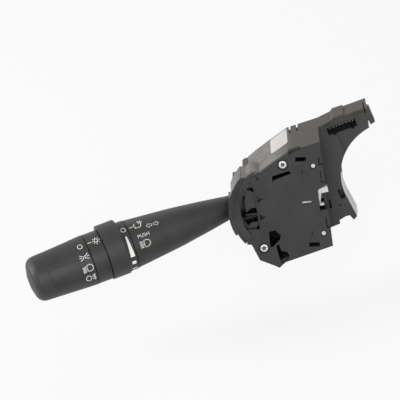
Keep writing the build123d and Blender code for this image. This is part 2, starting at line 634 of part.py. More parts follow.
def end_knob():
    solid = scale(turned(knob_profile()), by=(1, STALK_FLATNESS, 1))
    depth = KNOB_LENGTH - KNOB_ROUNDING - WALL
    hollow = Pos(0, 0, -1) * extrude(facets(KNOB_RADIUS - WALL), amount=depth, taper=2)
    hub = extrude(facets(TUBE_RADIUS + WALL) - Circle(TUBE_RADIUS + RUNNING), amount=HUB_LENGTH)
    spokes = Part()
    for step in range(SPOKES):
        spoke = box_between((TUBE_RADIUS + 1, -RIB / 2, SPOKE_START), (KNOB_RADIUS, RIB / 2, HUB_LENGTH))
        spokes += Rot(0, 0, 360 / SPOKES * step) * spoke
    knob = solid - hollow + hub + (spokes & solid)
    for step in range(GRIP_PANELS):
        knob -= Rot(0, 0, step * 360 / GRIP_PANELS) * grip_panel()
    return STALK * Pos(0, 0, KNOB_START) * knob


def grip_panel():
    slope = (KNOB_RADIUS - KNOB_TIP_RADIUS) / (KNOB_LENGTH - KNOB_ROUNDING)
    base = KNOB_RADIUS - slope * (GRIP_CENTRE - GRIP_LENGTH / 2) - GRIP_DEPTH
    ring = Cylinder(KNOB_RADIUS + 2, GRIP_LENGTH) - Cone(base, base - slope * GRIP_LENGTH, GRIP_LENGTH)
    reach = 2 * KNOB_RADIUS
    rays = [radians(angle) for angle in (GRIP_TOP, (GRIP_TOP + GRIP_BOTTOM) / 2, GRIP_BOTTOM)]
    side = outline([(0, 0)] + [(reach * sin(turn), -reach * cos(turn)) for turn in rays])
    return Pos(0, 0, GRIP_CENTRE) * (ring & extrude(side, amount=GRIP_LENGTH, both=True))


# Inner mechanism, built in the yoke's frame: x up, y away from the driver, z towards the stalk

def turn_yoke():
    outer = box_between((-YOKE_HALF_HEIGHT, -YOKE_FRONT, -YOKE_REACH_RIGHT),
                        (YOKE_HALF_HEIGHT, YOKE_BACK, YOKE_REACH_LEFT))
    inside = box_between((-YOKE_HALF_HEIGHT + YOKE_WALL, -YOKE_FRONT + YOKE_WALL, -YOKE_REACH_RIGHT - 1),
                         (YOKE_HALF_HEIGHT - YOKE_WALL, YOKE_BACK - YOKE_WALL, YOKE_REACH_LEFT + 1))
    yoke = chamfer(outer.edges().filter_by(Axis.Z), YOKE_WALL / 2) - inside
    side = PLUNGER_RADIUS + GUIDE_WALL
    yoke += box_between((GUIDE_END, PLUNGER_Y - side, -side), (GUIDE_TOP, PLUNGER_Y + side, side))
    yoke -= rod(PLUNGER_RADIUS + RUNNING, (GUIDE_TOP - GUIDE_WALL, PLUNGER_Y, 0), (-1, 0, 0), -2 * GUIDE_END)
    yoke += rod(TRUNNION_RADIUS, (0, -YOKE_FRONT, 0), (0, -1, 0), TRUNNION_LENGTH)
    yoke += rod(TRUNNION_RADIUS, (0, YOKE_BACK, 0), (0, 1, 0), TRUNNION_LENGTH)
    yoke -= rod(BEAM_PIN_RADIUS, (-YOKE_HALF_HEIGHT - 1, 0, 0), (1, 0, 0), 2 * YOKE_HALF_HEIGHT + 2)
    return YOKE * yoke + turn_arm()


def turn_arm():
    front = PIVOT_Y - YOKE_FRONT
    start = YOKE_REACH_RIGHT - 2
    end = TURN_ARM + TURN_ARM_HALF
    upper = [(start, TURN_ARM_HALF * 1.5), (TURN_ARM, TURN_ARM_HALF), (end, TURN_ARM_HALF / 2)]
    bar = outline(upper + [(x, -z) for x, z in reversed(upper)])
    arm = slab(Pos(*CENTRE) * bar, front, front + YOKE_WALL)
    pin_foot = (PIVOT_X + TURN_ARM, front + 1, PIVOT_Z)
    return arm + rod(TURN_PIN_RADIUS, pin_foot, (0, -1, 0), SLIDER_THICKNESS + 1)


def beam_pin():
    length = 2 * YOKE_HALF_HEIGHT
    return YOKE * rod(BEAM_PIN_RADIUS, (-length / 2, 0, 0), (1, 0, 0), length)


def dust_shutter():
    low = STALK_ANGLE - SHUTTER_HALF_ANGLE
    high = STALK_ANGLE + SHUTTER_HALF_ANGLE
    outer = DRUM_BORE - SHUTTER_GAP
    inner = outer - SHUTTER_WALL
    middle = -outer * tan(RAKE)
    depth = (STALK_SECTIONS[1][1] + outer * tan(radians(BEAM_PULL))) / cos(RAKE) + WINDOW_GAP
    skin = slab(sector(outer, inner, low, high), SHUTTER_FRONT, SHUTTER_BACK)
    slot_start = YOKE_REACH_LEFT + ARM_WALL
    skin -= YOKE * box_between((-SHUTTER_SLOT, middle - depth, slot_start),
                               (SHUTTER_SLOT, middle + depth, outer + 2))
    notch = sector(outer + 1, inner - 1, low - 1, low + TURN_SWING + 3)
    skin -= slab(notch, -DRUM_SHORT_BACK - COVER_THICKNESS - SEAM, 0)
    return skin + shutter_arms(inner) + shutter_web(inner, low, high)


def shutter_arms(inner):
    arms = Part()
    for side in (-1, 1):
        near, far = sorted((side * ARM_LIFT, side * (ARM_LIFT + ARM_WALL)))
        arms += box_between((near, ARM_FRONT, YOKE_REACH_LEFT), (far, ARM_BACK, inner))
    return (YOKE * arms) & slab(disc(inner + SHUTTER_WALL / 2), SHUTTER_FRONT, SHUTTER_BACK)


def shutter_web(inner, low, high):
    back = SHUTTER_FRONT + WEB_THICKNESS
    face = sector(inner + SHUTTER_WALL / 2, WEB_INNER, low, high) - Pos(*WEB_HOLE) * Circle(WEB_HOLE_RADIUS)
    face -= sector(WEB_GAP_OUTER, WEB_GAP_INNER, STALK_ANGLE - WEB_GAP_ANGLE, STALK_ANGLE + WEB_GAP_ANGLE)
    bar = Pos(*WEB_HOLE) * Rectangle(2 * WEB_HOLE_RADIUS + 1, RIB / 2)
    web = slab(face, SHUTTER_FRONT, back) + slab(bar, back, back + RIB / 2)
    half = YOKE_HALF_HEIGHT - ARM_WALL
    neck_front = -YOKE_FRONT - TRUNNION_LENGTH + SEAM
    neck = box_between((-half, neck_front, WEB_INNER), (half, -YOKE_FRONT, YOKE_REACH_LEFT))
    return web + YOKE * neck


def turn_plunger():
    body = rod(PLUNGER_RADIUS, (-PLUNGER_TOP, PLUNGER_Y, 0), (-1, 0, 0), PLUNGER_SHOULDER - PLUNGER_TOP)
    tip = PLUNGER_TIP - TRACK_RADIUS + TRACK_GAP
    neck = box_between((tip, PLUNGER_Y - PLUNGER_TIP, -PLUNGER_TIP),
                       (-PLUNGER_SHOULDER, PLUNGER_Y + PLUNGER_TIP, PLUNGER_TIP))
    nose = rod(PLUNGER_TIP, (tip, PLUNGER_Y - PLUNGER_TIP, 0), (0, 1, 0), 2 * PLUNGER_TIP)
    return YOKE * (body + neck + nose)


def coil(radius, wire, turns, height):
    steps = turns * COIL_SIDES
    turn = 2 * pi / COIL_SIDES
    points = [(radius * cos(step * turn), radius * sin(step * turn), height * step / steps)
              for step in range(steps + 1)]
    path = Polyline(*points)
    start = Plane(origin=path @ 0, z_dir=path % 0)
    return sweep(start * RegularPolygon(wire, 4), path, transition=Transition.RIGHT)


def plunger_spring():
    wire = PLUNGER_WIRE
    room = PLUNGER_TOP + GUIDE_TOP - GUIDE_WALL
    spring = coil(PLUNGER_RADIUS - 3 * wire, wire, PLUNGER_TURNS, room - 2 * wire)
    return YOKE * Pos(-PLUNGER_TOP + wire, PLUNGER_Y, 0) * Rot(0, 90, 0) * spring


def detent_track():
    centre = 270 + STALK_DROOP
    start = centre - TRACK_HALF_ANGLE
    ring = sector(TRACK_RADIUS + TRACK_THICKNESS, TRACK_RADIUS, start, start + 2 * TRACK_HALF_ANGLE)
    for step in (-TURN_SWING, 0, TURN_SWING):
        ring -= Pos(*around(centre + step, TRACK_RADIUS - NOTCH_SETBACK)) * Circle(NOTCH_RADIUS)
    return slab(ring, PIVOT_Y + PLUNGER_Y - TRACK_HALF_WIDTH, BASE_Y)


def lever_root():
    block = box_between((-ROOT_HALF_HEIGHT, -ROOT_HALF_DEPTH, -ROOT_BACK),
                        (ROOT_HALF_HEIGHT, ROOT_HALF_DEPTH, ROOT_FRONT))
    block = chamfer(block.edges().filter_by(Axis.Z), ROOT_HALF_HEIGHT / 4)
    socket = extrude(facets(TUBE_RADIUS + RIB), amount=STALK_START - ROOT_FRONT - SEAM)
    bore = Pos(0, 0, TUBE_START) * extrude(Circle(TUBE_RADIUS), amount=STALK_START)
    hole = rod(BEAM_PIN_RADIUS + RUNNING, (-YOKE_HALF_HEIGHT, 0, 0), (1, 0, 0), 2 * YOKE_HALF_HEIGHT)
    half = TAIL_HALF_HEIGHT
    tail = box_between((-half, -TAIL_HALF_DEPTH, -BEAM_ARM), (half, TAIL_HALF_DEPTH, 0))
    roller = rod(TAIL_RADIUS, (-half, 0, -BEAM_ARM), (1, 0, 0), 2 * half)
    head = block + Pos(0, 0, ROOT_FRONT) * socket
    return STALK * (head - bore - hole) + YOKE * (tail + roller - hole)


def beam_spring():
    wire = BEAM_WIRE
    height = YOKE_HALF_HEIGHT - YOKE_WALL - ROOT_HALF_HEIGHT - 3 * wire
    spring = coil(BEAM_PIN_RADIUS + BEAM_COIL_GAP, wire, BEAM_TURNS, height)
    return YOKE * Pos(ROOT_HALF_HEIGHT + 1.5 * wire, 0, 0) * Rot(0, 90, 0) * spring


def contact_carrier():
    back = PLATE_BACK_Y + CARRIER_THICKNESS
    left = SLIDER_LEFT - CARRIER_MARGIN
    right = RIGHT_X - WALL - CARRIER_GAP
    notch = PAWL_LEFT - PAWL_TRAVEL - 2 * SEAM
    low = GATE_BOTTOM - GATE_MARGIN
    high = GATE_TOP + GATE_MARGIN
    gate = [(right, low), (notch, low), (notch, high), (right, high)]
    face = outline([(left, CARRIER_BOTTOM), (right, CARRIER_BOTTOM)] + gate
                   + [(right, CARRIER_TOP), (left, CARRIER_TOP)])
    carrier = slab(face, PLATE_BACK_Y, back)
    for x, z in PEGS:
        carrier += slab(Pos(x, z) * Circle(PEG_RADIUS), PLATE_BACK_Y - PEG_REACH, PLATE_BACK_Y)
    tab = Pos(*CARRIER_TAB) * Rectangle(CARRIER_TAB_LENGTH, CARRIER_TAB_HEIGHT)
    carrier += slab(tab, PLATE_BACK_Y - CARRIER_TAB_REACH, PLATE_BACK_Y)
    beside = SEAM + CARRIER_RAIL / 2
    rail = Rectangle(CARRIER_RAIL, 4 * SLIDER_HALF)
    for x in (SLIDER_LEFT - beside, SLIDER_RIGHT + beside):
        carrier += slab(Pos(x, PIVOT_Z) * rail, back, back + SLIDER_THICKNESS)
    return carrier


def turn_slider():
    front = PLATE_BACK_Y + CARRIER_THICKNESS + SEAM
    middle = (SLIDER_LEFT + SLIDER_RIGHT) / 2
    plate = Pos(middle, PIVOT_Z) * Rectangle(SLIDER_RIGHT - SLIDER_LEFT, 2 * SLIDER_HALF)
    travel = TURN_ARM * (1 - cos(radians(TURN_SWING)))
    slot = Rectangle(2 * (TURN_PIN_RADIUS + END_GAP) + travel, 2 * (TURN_PIN_RADIUS + PIN_GAP))
    plate -= Pos(PIVOT_X + TURN_ARM - travel / 2, PIVOT_Z) * slot
    return slab(plate, front, front + SLIDER_THICKNESS - 2 * SEAM)


def beam_slider():
    tail_x = PIVOT_X + BEAM_ARM * cos(DROOP)
    left = tail_x - BEAM_SLIDER_REACH
    right = RIGHT_X - WALL - SEAM
    half = TAIL_RADIUS + 2 * RUNNING
    outer = half + BEAM_SLIDER_WALL
    body = box_between((left, PIVOT_Y - outer, BEAM_SLIDER_BOTTOM), (right, PIVOT_Y + outer, BEAM_SLIDER_TOP))
    groove = box_between((left - 1, PIVOT_Y - half, BEAM_SLIDER_BOTTOM - 1),
                         (tail_x + TAIL_RADIUS + END_GAP, PIVOT_Y + half, BEAM_SLIDER_TOP + 1))
    return body - groove


def cancel_pawl():
    front = PLATE_BACK_Y + SEAM
    limb = PAWL_LEFT + PAWL_LIMB
    toe = PAWL_LEFT + PAWL_TOE_LENGTH
    top = PAWL_FOOT + PAWL_TOE_HEIGHT
    head = outline([(PAWL_LEFT, PAWL_SHOULDER)] + PAWL_HEAD + [(limb, PAWL_KNEE), (PAWL_LEFT, PAWL_KNEE)])
    foot = outline([(PAWL_LEFT, PAWL_FOOT), (toe, PAWL_FOOT), (toe, top), (PAWL_LEFT, top)])
    stem = outline([(PAWL_LEFT, PAWL_FOOT), (limb, PAWL_FOOT), (limb, PAWL_NECK), (PAWL_LEFT, PAWL_SHOULDER)])
    pawl = slab(head, front, front + PAWL_THICKNESS) + slab(foot, front + 1, front + PAWL_THICKNESS)
    return pawl + slab(stem, front + PAWL_THICKNESS - SEAM, front + 2 * PAWL_THICKNESS)


def circuit_board():
    return box_between((SLIDER_LEFT - 1, BASE_Y - DISC_THICKNESS, CARRIER_BOTTOM + 2 * WALL),
                       (RIGHT_X - WALL - CARRIER_GAP, BASE_Y, CARRIER_TOP + WALL))


def disc_along(start, outer, inner, length):
    return STALK * Pos(0, 0, start) * extrude(facets(outer) - facets(inner), amount=length)


def tube_cap():
    cap = extrude(coarse(TUBE_RADIUS + WALL), amount=WALL)
    return STALK * Pos(0, 0, KNOB_START + HUB_LENGTH + ROTARY_GAP / 2) * cap


def dimmer_board():
    outer = RING_RADIUS - WALL - DISC_GAP
    return disc_along(COLLAR_START - DISC_THICKNESS, outer, TUBE_RADIUS + SEAM, DISC_THICKNESS)


def knob_board():
    start = COLLAR_START + COLLAR_LENGTH - DISC_THICKNESS - SEAM
    return disc_along(start, COLLAR_RADIUS - WALL - DISC_GAP, TUBE_RADIUS + WALL + SEAM, DISC_THICKNESS)


def dimmer_wiper():
    start = RING_START + RING_LENGTH - 2 * WALL
    outer = RING_RADIUS - WALL - 5 * DISC_GAP
    return disc_along(start, outer, TUBE_RADIUS + WALL + SEAM, DISC_THICKNESS - DISC_GAP)


def knob_rotor():
    outer = KNOB_RADIUS - WALL - 3 * DISC_GAP
    return disc_along(KNOB_START + DISC_GAP, outer, TUBE_RADIUS + WALL + SEAM, SPOKE_START - 3 * DISC_GAP)


def seat_liner():
    face = column_face()
    right = BRACKET_RIGHT
    band = outline([(0, LINER_TOP), (right, LINER_TOP), (right, LINER_BOTTOM), (0, LINER_BOTTOM)])
    liner = (offset(face, amount=LINER_THICKNESS) - face) & band
    kept = [piece for piece in liner.faces() if piece.center().X > PEEP_HOLE[0]]
    return slab(Sketch() + kept, BRACKET_Y + LINER_THICKNESS, -LINER_THICKNESS)


MAKERS = [rear_case, front_plate, top_cover, stalk_shroud, column_bracket, connector_socket,
          connector_pins, plate_screws, label, seat_liner, contact_carrier, circuit_board, detent_track,
          turn_yoke, beam_pin, dust_shutter, plunger_spring, turn_plunger, lever_root, beam_spring,
          stalk_shell, core_tube, tube_cap, fixed_collar, dimmer_board, knob_board, dimmer_ring,
          dimmer_wiper, end_knob, knob_rotor, turn_slider, beam_slider, cancel_pawl]

for make in MAKERS:
    export_step(make(), f"parts/{make.__name__}.step")
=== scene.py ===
import json
from math import atan2, cos, pi, radians, sin

import bmesh
import bpy
from mathutils import Matrix, Vector
from mathutils.bvhtree import BVHTree


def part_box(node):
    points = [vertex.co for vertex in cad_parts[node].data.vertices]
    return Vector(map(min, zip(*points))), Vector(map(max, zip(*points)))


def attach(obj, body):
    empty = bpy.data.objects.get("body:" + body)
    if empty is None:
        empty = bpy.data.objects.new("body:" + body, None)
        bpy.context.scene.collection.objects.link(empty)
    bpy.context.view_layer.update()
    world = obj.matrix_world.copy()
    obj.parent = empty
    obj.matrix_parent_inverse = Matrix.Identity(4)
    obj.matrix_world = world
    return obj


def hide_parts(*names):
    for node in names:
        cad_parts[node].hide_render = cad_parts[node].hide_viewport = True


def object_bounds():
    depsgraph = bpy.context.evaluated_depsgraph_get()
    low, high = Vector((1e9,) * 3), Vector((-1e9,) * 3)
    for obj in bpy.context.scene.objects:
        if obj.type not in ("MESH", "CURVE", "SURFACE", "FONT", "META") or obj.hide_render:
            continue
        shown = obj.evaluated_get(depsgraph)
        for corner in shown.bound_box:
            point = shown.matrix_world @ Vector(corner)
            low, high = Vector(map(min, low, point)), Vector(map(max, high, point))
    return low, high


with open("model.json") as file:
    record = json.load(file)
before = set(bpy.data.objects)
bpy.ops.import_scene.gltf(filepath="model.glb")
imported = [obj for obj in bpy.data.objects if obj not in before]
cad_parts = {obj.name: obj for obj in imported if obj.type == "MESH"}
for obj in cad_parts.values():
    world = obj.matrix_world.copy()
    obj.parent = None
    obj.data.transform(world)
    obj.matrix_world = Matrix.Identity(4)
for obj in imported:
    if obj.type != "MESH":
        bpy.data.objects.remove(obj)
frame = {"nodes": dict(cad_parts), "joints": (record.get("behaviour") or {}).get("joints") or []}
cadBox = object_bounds()
scene = bpy.context.scene
nodes = frame["nodes"]
joints = {joint["name"]: joint for joint in frame["joints"]}
mm = 0.001

# The lever's own frame: across it (up), away from the driver, and along it to the tip
pivot = Vector(joints["beam"]["pos_m"])
leverUp = Vector(joints["beam"]["axis"]).normalized()
leverTip = Vector(joints["light_switch"]["axis"]).normalized()
leverAway = leverTip.cross(leverUp).normalized()


def newTree(holder):
    holder.use_nodes = True
    tree = holder.node_tree
    tree.nodes.clear()
    return tree


def addNode(tree, kind, inputs=None, **settings):
    node = tree.nodes.new(kind)
    for key, value in settings.items():
        setattr(node, key, value)
    for key, value in (inputs or {}).items():
        if isinstance(value, bpy.types.NodeSocket):
            tree.links.new(value, node.inputs[key])
        else:
            node.inputs[key].default_value = value
    return node


def grey(level, warm=0.0):
    return (level * (1 + warm), level, level * (1 - warm), 1.0)


# A node group with named sockets, and its input node's outputs; a tuple stands for a colour
def newGroup(name, inputs, outputs):
    group = bpy.data.node_groups.new(name, "ShaderNodeTree")
    for label, value in inputs.items():
        kind = "NodeSocketColor" if isinstance(value, tuple) else "NodeSocketFloat"
        group.interface.new_socket(label, in_out="INPUT", socket_type=kind).default_value = value
    for label, kind in outputs.items():
        group.interface.new_socket(label, in_out="OUTPUT", socket_type=kind)
    return group, addNode(group, "NodeGroupInput").outputs


def mathNode(tree, operation, first, second, **settings):
    return addNode(tree, "ShaderNodeMath", {0: first, 1: second}, operation=operation, **settings).outputs[0]


def mixColour(tree, share, first, second):
    mixed = addNode(tree, "ShaderNodeMix", {0: share, 6: first, 7: second}, data_type="RGBA")
    return mixed.outputs[2]


def mapRange(tree, value, low, high, newLow=0.0, newHigh=1.0, **settings):
    ranges = {"Value": value, "From Min": low, "From Max": high, "To Min": newLow, "To Max": newHigh}
    return addNode(tree, "ShaderNodeMapRange", ranges, **settings).outputs[0]


skinInputs = {  # sizes in mm
    "Colour": grey(0.05), "Rubbed And Sheen Colour": grey(0.12), "Grain Size": 0.5, "Grain Depth": 0.2,
    "Edge Size": 0.3, "Rubbing And Sheen": 0.4, "Roughness": 0.5, "Mottle": 0.12,
}
skinPattern = {
    "grainDetail": 3.0, "grainRoughness": 0.6, "grainRelief": 0.0001,
    "flowScale": 70.0, "flowDetail": 4.0, "flowDistortion": 0.6, "flowFrom": 0.3, "flowTo": 0.7,
    "bevelSamples": 4, "edgeFrom": 0.98, "edgeTo": 0.75, "patchFrom": 0.4, "patchTo": 0.62,
    "glossiest": -0.05, "dullest": 0.06,
}


# Grain, soft edges, rubbed edges and faint flow marks of moulded plastic; a look can also use the rubbed-edge
# colour as a painted highlight
def makeMouldedSkin():
    pattern = skinPattern
    group, given = newGroup("mouldedSkin", skinInputs, {
        "Colour": "NodeSocketColor", "Roughness": "NodeSocketFloat", "Normal": "NodeSocketVector"})
    place = addNode(group, "ShaderNodeTexCoord").outputs["Object"]
    pitch = mathNode(group, "DIVIDE", 1 / mm, given["Grain Size"])
    grain = addNode(group, "ShaderNodeTexNoise", {
        "Vector": place, "Scale": pitch, "Detail": pattern["grainDetail"],
        "Roughness": pattern["grainRoughness"]})
    pits = addNode(group, "ShaderNodeTexVoronoi", {"Vector": place, "Scale": pitch}, feature="SMOOTH_F1")
    height = mathNode(group, "ADD", grain.outputs[0], pits.outputs["Distance"])
    flow = addNode(group, "ShaderNodeTexNoise", {
        "Vector": place, "Scale": pattern["flowScale"], "Detail": pattern["flowDetail"],
        "Distortion": pattern["flowDistortion"]}).outputs[0]

    edgeWidth = mathNode(group, "MULTIPLY", given["Edge Size"], mm)
    rounded = addNode(group, "ShaderNodeBevel", {"Radius": edgeWidth}, samples=pattern["bevelSamples"])
    rounded = rounded.outputs[0]
    surface = addNode(group, "ShaderNodeNewGeometry").outputs["Normal"]
    turned = addNode(group, "ShaderNodeVectorMath", {0: rounded, 1: surface}, operation="DOT_PRODUCT")
    edge = mapRange(group, turned.outputs["Value"], pattern["edgeFrom"], pattern["edgeTo"])
    patchy = mapRange(group, flow, pattern["patchFrom"], pattern["patchTo"])
    rubbedAndSheen = mathNode(group, "MULTIPLY", mathNode(group, "MULTIPLY", edge, patchy), given["Rubbing And Sheen"])

    shade = mapRange(group, flow, pattern["flowFrom"], pattern["flowTo"], 0.0, given["Mottle"])
    lifted = mixColour(group, shade, given["Colour"], given["Rubbed And Sheen Colour"])
    colour = mixColour(group, rubbedAndSheen, lifted, given["Rubbed And Sheen Colour"])
    gloss = mapRange(group, flow, pattern["flowFrom"], pattern["flowTo"],
                     pattern["glossiest"], pattern["dullest"])
    rough = mathNode(group, "ADD", given["Roughness"], gloss)
    bump = addNode(group, "ShaderNodeBump", {
        "Height": height, "Strength": given["Grain Depth"], "Distance": pattern["grainRelief"],
        "Normal": rounded})
    addNode(group, "NodeGroupOutput", {"Colour": colour, "Roughness": rough, "Normal": bump.outputs[0]})
    return group


dustAndLightInputs = {  # from plain to dusty and lit at these places across the object, in mm
    "Colour": grey(0.03), "Dust And Light Colour": grey(0.2), "Plain At": -20.0, "Dusty And Lit At": -40.0, "Amount": 0.5,
}
dustAndLightPattern = {
    "cloudScale": 110.0, "cloudDetail": 6.0, "cloudRoughness": 0.75, "patchFrom": 0.3, "patchTo": 0.65,
    "leastShare": 0.35,
}


# Dust with a painted highlight, lying thicker towards one side, in patches
def makeDustAndLightVeil():
    pattern = dustAndLightPattern
    group, given = newGroup("dustAndLightVeil", dustAndLightInputs, {"Colour": "NodeSocketColor"})
    place = addNode(group, "ShaderNodeTexCoord").outputs["Object"]
    across = addNode(group, "ShaderNodeSeparateXYZ", {0: place}).outputs["X"]
    across = mathNode(group, "MULTIPLY", across, 1 / mm)
    side = mapRange(group, across, given["Plain At"], given["Dusty And Lit At"], interpolation_type="SMOOTHSTEP")
    cloud = addNode(group, "ShaderNodeTexNoise", {
        "Vector": place, "Scale": pattern["cloudScale"], "Detail": pattern["cloudDetail"],
        "Roughness": pattern["cloudRoughness"]}).outputs[0]
    patch = mapRange(group, cloud, pattern["patchFrom"], pattern["patchTo"], pattern["leastShare"])
    share = mathNode(group, "MULTIPLY", mathNode(group, "MULTIPLY", side, patch), given["Amount"])
    veiled = mixColour(group, share, given["Colour"], given["Dust And Light Colour"])
    addNode(group, "NodeGroupOutput", {"Colour": veiled})
    return group


mouldedSkin = makeMouldedSkin()
dustAndLightVeil = makeDustAndLightVeil()


def skinMaterial(name, look):
    material = bpy.data.materials.new(name)
    tree = newTree(material)
    skin = addNode(tree, "ShaderNodeGroup", node_tree=mouldedSkin)
    for key in skinInputs:
        skin.inputs[key].default_value = look[key]
    colour = skin.outputs["Colour"]
    if "Dust And Light Colour" in look:
        veil = addNode(tree, "ShaderNodeGroup", {"Colour": colour}, node_tree=dustAndLightVeil)
        for key in ("Dust And Light Colour", "Plain At", "Dusty And Lit At", "Amount"):
            veil.inputs[key].default_value = look[key]
        colour = veil.outputs["Colour"]
    shader = addNode(tree, "ShaderNodeBsdfPrincipled", {
        "Base Color": colour, "Roughness": skin.outputs["Roughness"], "Normal": skin.outputs["Normal"],
        "Specular IOR Level": look.get("Specular", 0.5), "Metallic": look.get("Metallic", 0.0)})
    addNode(tree, "ShaderNodeOutputMaterial", {"Surface": shader.outputs[0]})
    return material


plasticLooks = {  # sizes in mm
    "leverPlastic": {
        "Colour": grey(0.017, 0.04), "Rubbed And Sheen Colour": grey(0.046, 0.04), "Grain Size": 0.45,
        "Grain Depth": 0.35, "Edge Size": 0.35, "Rubbing And Sheen": 0.5, "Roughness": 0.50, "Mottle": 0.34,
        "Specular": 0.40},
    "ringPlastic": {
        "Colour": grey(0.026, 0.03), "Rubbed And Sheen Colour": grey(0.055, 0.03), "Grain Size": 0.4,
        "Grain Depth": 0.30, "Edge Size": 0.4, "Rubbing And Sheen": 0.5, "Roughness": 0.5, "Mottle": 0.25,
        "Specular": 0.34},
    "housingPlastic": {
        "Colour": grey(0.028, 0.03), "Rubbed And Sheen Colour": grey(0.080, 0.04), "Grain Size": 0.8,
        "Grain Depth": 0.25, "Edge Size": 0.35, "Rubbing And Sheen": 0.7, "Roughness": 0.5, "Mottle": 0.25,
        "Specular": 0.34},
    "platePlastic": {
        "Colour": grey(0.020, 0.0), "Rubbed And Sheen Colour": grey(0.060, 0.03), "Grain Size": 0.7,
        "Grain Depth": 0.20, "Edge Size": 0.3, "Rubbing And Sheen": 0.8, "Roughness": 0.46, "Mottle": 0.22,
        "Specular": 0.34},
    # the light rubbed-edge colour at full rubbing is a painted highlight along the drum's lip
    "drumPlastic": {
        "Colour": grey(0.011, 0.02), "Rubbed And Sheen Colour": grey(0.130, 0.03), "Grain Size": 0.6,
        "Grain Depth": 0.12, "Edge Size": 0.6, "Rubbing And Sheen": 1.0, "Roughness": 0.28, "Mottle": 0.15,
        "Specular": 0.40},
    # the veil on the cover is dust with a painted highlight, lighter towards its left
    "coverPlastic": {
        "Colour": grey(0.030, 0.09), "Rubbed And Sheen Colour": grey(0.150, 0.09), "Grain Size": 0.8,
        "Grain Depth": 0.30, "Edge Size": 0.4, "Rubbing And Sheen": 0.7, "Roughness": 0.52, "Mottle": 0.25,
        "Specular": 0.26, "Dust And Light Colour": grey(0.30, 0.05), "Plain At": -20.0, "Dusty And Lit At": -36.0,
        "Amount": 0.55},
    "innerPlastic": {
        "Colour": grey(0.028, 0.01), "Rubbed And Sheen Colour": grey(0.07, 0.02), "Grain Size": 0.6,
        "Grain Depth": 0.15, "Edge Size": 0.2, "Rubbing And Sheen": 0.4, "Roughness": 0.42, "Mottle": 0.10,
        "Specular": 0.34},
    "whitePlastic": {
        "Colour": grey(0.58, 0.02), "Rubbed And Sheen Colour": grey(0.75, 0.02), "Grain Size": 0.6,
        "Grain Depth": 0.10, "Edge Size": 0.2, "Rubbing And Sheen": 0.2, "Roughness": 0.38, "Mottle": 0.15},
    "labelFilm": {
        "Colour": grey(0.56, 0.02), "Rubbed And Sheen Colour": grey(0.36, 0.03), "Grain Size": 0.3,
        "Grain Depth": 0.05, "Edge Size": 0.05, "Rubbing And Sheen": 0.2, "Roughness": 0.42, "Mottle": 0.45},
    "markInk": {
        "Colour": grey(0.80, 0.02), "Rubbed And Sheen Colour": grey(0.62, 0.02), "Grain Size": 0.2,
        "Grain Depth": 0.05, "Edge Size": 0.02, "Rubbing And Sheen": 0.1, "Roughness": 0.5, "Mottle": 0.25},
    "zincPlate": {
        "Colour": grey(0.46, 0.02), "Rubbed And Sheen Colour": grey(0.70, 0.01), "Grain Size": 0.25,
        "Grain Depth": 0.15, "Edge Size": 0.12, "Rubbing And Sheen": 0.8, "Roughness": 0.30, "Mottle": 0.35,
        "Metallic": 1.0},
    # painted shade for the inside of the screw drive
    "driveShade": {
        "Colour": grey(0.10, 0.02), "Rubbed And Sheen Colour": grey(0.20, 0.01), "Grain Size": 0.25,
        "Grain Depth": 0.15, "Edge Size": 0.05, "Rubbing And Sheen": 0.3, "Roughness": 0.45, "Mottle": 0.25,
        "Metallic": 1.0},
    # painted shade for the tiny hole mouths in the plate
    "holeShade": {
        "Colour": grey(0.004), "Rubbed And Sheen Colour": grey(0.008), "Grain Size": 0.3, "Grain Depth": 0.05,
        "Edge Size": 0.02, "Rubbing And Sheen": 0.1, "Roughness": 0.7, "Mottle": 0.1, "Specular": 0.10},
    "springWire": {
        "Colour": grey(0.45, 0.02), "Rubbed And Sheen Colour": grey(0.7, 0.01), "Grain Size": 0.15,
        "Grain Depth": 0.10, "Edge Size": 0.05, "Rubbing And Sheen": 0.3, "Roughness": 0.28, "Mottle": 0.25,
        "Metallic": 1.0},
    "tinnedPins": {
        "Colour": grey(0.22, 0.03), "Rubbed And Sheen Colour": grey(0.35, 0.02), "Grain Size": 0.2,
        "Grain Depth": 0.08, "Edge Size": 0.08, "Rubbing And Sheen": 0.6, "Roughness": 0.26, "Mottle": 0.2,
        "Metallic": 1.0},
    "boardLacquer": {
        "Colour": (0.02, 0.09, 0.035, 1), "Rubbed And Sheen Colour": (0.08, 0.16, 0.07, 1), "Grain Size": 0.5,
        "Grain Depth": 0.10, "Edge Size": 0.1, "Rubbing And Sheen": 0.5, "Roughness": 0.3, "Mottle": 0.3},
}
materials = {name: skinMaterial(name, look) for name, look in plasticLooks.items()}

nodeLooks = {
    "leverPlastic": ["stalk_shell", "fixed_collar", "end_knob"],
    "ringPlastic": ["dimmer_ring"],
    "housingPlastic": ["rear_case", "column_bracket", "connector_socket"],
    "platePlastic": ["front_plate"],
    "drumPlastic": ["stalk_shroud"],
    "coverPlastic": ["top_cover"],
    "innerPlastic": ["turn_yoke", "dust_shutter", "lever_root", "core_tube", "tube_cap", "turn_plunger",
                     "detent_track", "dimmer_wiper", "knob_rotor"],
    "whitePlastic": ["contact_carrier", "cancel_pawl", "turn_slider", "beam_slider"],
    "labelFilm": ["label", "seat_liner"],
    "zincPlate": ["plate_screws", "beam_pin"],
    "springWire": ["plunger_spring", "beam_spring"],
    "tinnedPins": ["connector_pins"],
    "boardLacquer": ["circuit_board", "dimmer_board", "knob_board"],
}
for look, members in nodeLooks.items():
    for member in members:
        nodes[member].data.materials.clear()
        nodes[member].data.materials.append(materials[look])
print("materials", len(materials), "on", len(nodes), "nodes")


# Printed marks, drawn as flat strokes and laid on the lever
def arcPoints(x, y, radius, start, end, count=14):
    steps = [radians(start + (end - start) * k / (count - 1)) for k in range(count)]
    return [(x + radius * cos(a), y + radius * sin(a)) for a in steps]


